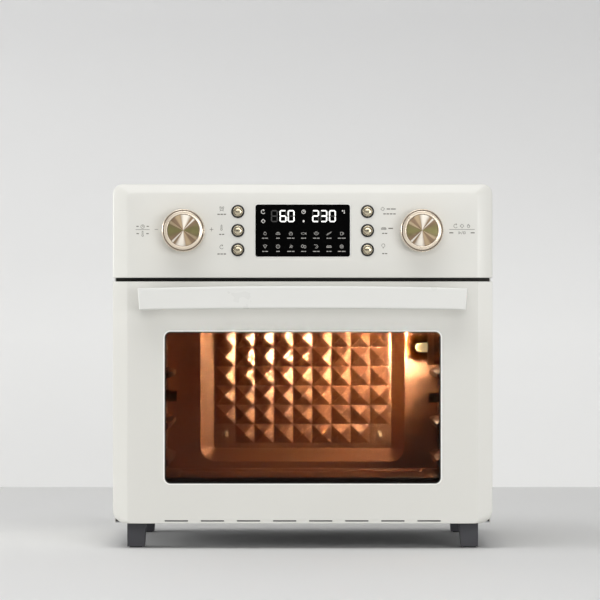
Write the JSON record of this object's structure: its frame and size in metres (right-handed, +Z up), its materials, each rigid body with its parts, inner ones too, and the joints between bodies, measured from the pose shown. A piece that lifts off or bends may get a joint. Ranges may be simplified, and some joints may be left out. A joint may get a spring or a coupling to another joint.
{
  "type": "air fryer oven",
  "caption": "Countertop air fryer oven with a drop-down glass door, display, turning knobs, push buttons, a lit cavity, a top fan and a spit drive.",
  "frame": {"origin": "middle of the whole object's box in plan, on the surface it stands on", "axes": "+X to the right seen from the front, +Y to the back, +Z up; the door and controls face -Y"},
  "size_m": [0.38, 0.374, 0.365],
  "materials": {
    "cream_paint": "satin powder coat",
    "cream_moulding": "satin",
    "handle_cream": "satin",
    "zinc_steel": "galvanised",
    "liner_steel": "bright aluminised",
    "polished_steel": "bright",
    "champagne_metal": "spun",
    "gold_cap": "polished",
    "black_ring": "satin",
    "black_display": "glossy",
    "clear_glass": "clear",
    "lamp_glass": "clear",
    "warm_bulb": "lit",
    "ceramic_white": "glazed ceramic",
    "black_rubber": "matt",
    "charcoal_plastic": "fine grain",
    "board_green": "satin",
    "dark_steel": "heat darkened",
    "spring_steel": "drawn wire",
    "grey_plastic": "satin"
  },
  "bodies": {
    "oven": {"outer_shell": "cream_paint", "front_frame": "zinc_steel", "base_plate": "zinc_steel", "rear_cover": "cream_paint", "cord_gland": "charcoal_plastic", "feet": "charcoal_plastic", "foot_pads": "black_rubber", "panel_screws": "polished_steel", "cavity_left": "liner_steel", "cavity_right": "liner_steel", "cavity_floor": "liner_steel", "cavity_ceiling": "liner_steel", "cavity_rear": "liner_steel", "rack_rails_left": "liner_steel", "rack_rails_right": "liner_steel", "spit_motor": "grey_plastic", "spit_support": "polished_steel", "lamp_holder": "ceramic_white", "lamp_dome": "lamp_glass", "lamp_bulb": "warm_bulb", "temperature_probe": "polished_steel", "fan_guard": "liner_steel", "fan_housing": "zinc_steel", "heating_element": "dark_steel", "element_clips": "zinc_steel", "fan_motor": "zinc_steel", "motor_bracket": "zinc_steel", "control_panel": "cream_moulding", "display_window": "black_display", "control_board": "board_green", "tact_switches": "charcoal_plastic", "encoder_bodies": "grey_plastic", "button_bezels": "black_ring", "door_gasket": "black_rubber", "hinge_brackets": "zinc_steel", "hinge_springs": "spring_steel"},
    "door": {"door_frame": "cream_moulding", "door_outer_glass": "clear_glass", "door_inner_panel": "dark_steel", "door_inner_glass": "clear_glass", "door_handle": "handle_cream", "handle_screws": "polished_steel", "hinge_pins": "polished_steel"},
    "fan_rotor": {"hot_air_fan": "zinc_steel", "cooling_fan": "grey_plastic", "motor_shaft": "polished_steel"},
    "spit_drive": {"spit_socket": "polished_steel"},
    "left_knob": {"knob_left": "champagne_metal", "knob_left_face": "champagne_metal", "knob_left_shaft": "polished_steel"},
    "knob_push": {"encoder_plunger": "grey_plastic"},
    "right_knob": {"knob_right": "champagne_metal", "knob_right_face": "champagne_metal", "knob_right_shaft": "polished_steel"},
    "clock_button": {"button_clock": "gold_cap"},
    "temperature_button": {"button_temperature": "gold_cap"},
    "rotation_button": {"button_rotation": "gold_cap"},
    "fry_button": {"button_fry": "gold_cap"},
    "bake_button": {"button_bake": "gold_cap"},
    "lamp_button": {"button_lamp": "gold_cap"}
  },
  "joints": [
    {"name": "door_hinge", "type": "hinge", "parent": "oven", "child": "door", "pos_m": [0, -0.152, 0.037], "axis": [1, 0, 0], "range_deg": [0, 90], "stiffness_Nm_per_rad": 0.5, "springref_deg": -45.84, "deforming": ["hinge_springs"]},
    {"name": "fan_spin", "type": "hinge", "parent": "oven", "child": "fan_rotor", "pos_m": [0, 0.004, 0.27], "axis": [0, 0, 1], "continuous": true},
    {"name": "spit_spin", "type": "hinge", "parent": "oven", "child": "spit_drive", "pos_m": [-0.145, 0.004, 0.149], "axis": [1, 0, 0], "continuous": true},
    {"name": "left_knob_turn", "type": "hinge", "parent": "oven", "child": "left_knob", "pos_m": [-0.119, -0.161, 0.3184], "axis": [0, 1, 0], "continuous": true},
    {"name": "right_knob_push", "type": "slide", "parent": "oven", "child": "knob_push", "axis": [0, 1, 0], "range_m": [0, 0.0012], "stiffness_N_per_m": 900, "springref_m": -0.002},
    {"name": "right_knob_turn", "type": "hinge", "parent": "knob_push", "child": "right_knob", "pos_m": [0.119, -0.161, 0.3184], "axis": [0, 1, 0], "continuous": true},
    {"name": "clock_press", "type": "slide", "parent": "oven", "child": "clock_button", "axis": [0, 1, 0], "range_m": [0, 0.0012], "stiffness_N_per_m": 400, "springref_m": -0.002},
    {"name": "temperature_press", "type": "slide", "parent": "oven", "child": "temperature_button", "axis": [0, 1, 0], "range_m": [0, 0.0012], "stiffness_N_per_m": 400, "springref_m": -0.002},
    {"name": "rotation_press", "type": "slide", "parent": "oven", "child": "rotation_button", "axis": [0, 1, 0], "range_m": [0, 0.0012], "stiffness_N_per_m": 400, "springref_m": -0.002},
    {"name": "fry_press", "type": "slide", "parent": "oven", "child": "fry_button", "axis": [0, 1, 0], "range_m": [0, 0.0012], "stiffness_N_per_m": 400, "springref_m": -0.002},
    {"name": "bake_press", "type": "slide", "parent": "oven", "child": "bake_button", "axis": [0, 1, 0], "range_m": [0, 0.0012], "stiffness_N_per_m": 400, "springref_m": -0.002},
    {"name": "lamp_press", "type": "slide", "parent": "oven", "child": "lamp_button", "axis": [0, 1, 0], "range_m": [0, 0.0012], "stiffness_N_per_m": 400, "springref_m": -0.002}
  ]
}
